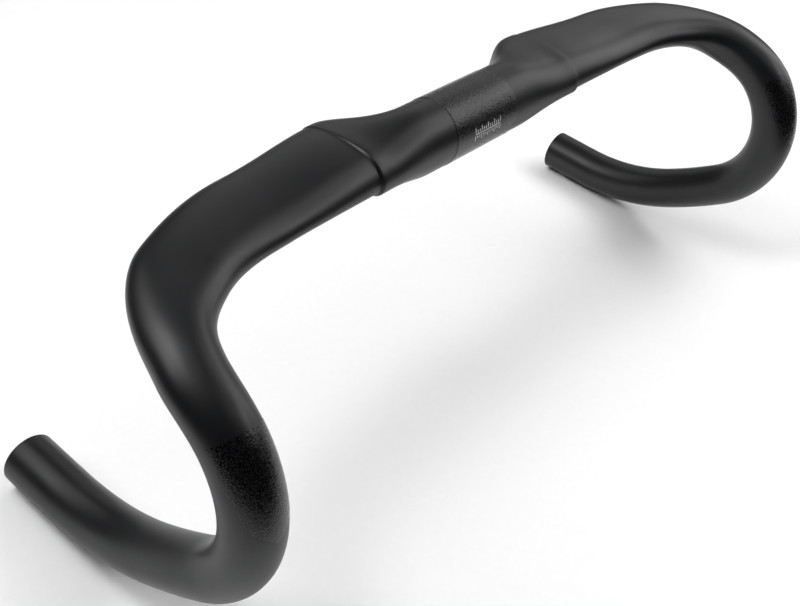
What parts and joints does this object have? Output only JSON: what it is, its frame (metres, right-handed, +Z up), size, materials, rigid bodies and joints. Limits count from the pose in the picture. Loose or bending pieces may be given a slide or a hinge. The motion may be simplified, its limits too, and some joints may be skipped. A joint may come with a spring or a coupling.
{
  "type": "aero drop handlebar",
  "caption": "Hollow one-piece aero drop handlebar: round stem seat, flat wing tops, swept corners and compact hooks with open round ends.",
  "frame": {"origin": "middle of the round stem seat, on its axis", "axes": "X along the bar to the rider's left, -Y the way the rider looks, +Z up; the open ends are level"},
  "size_m": [0.4238, 0.1416, 0.1483],
  "materials": {
    "moulding": "matte dark grey clear coat over carbon fibre"
  },
  "bodies": {
    "root": {"handlebar": "moulding"}
  },
  "joints": []
}
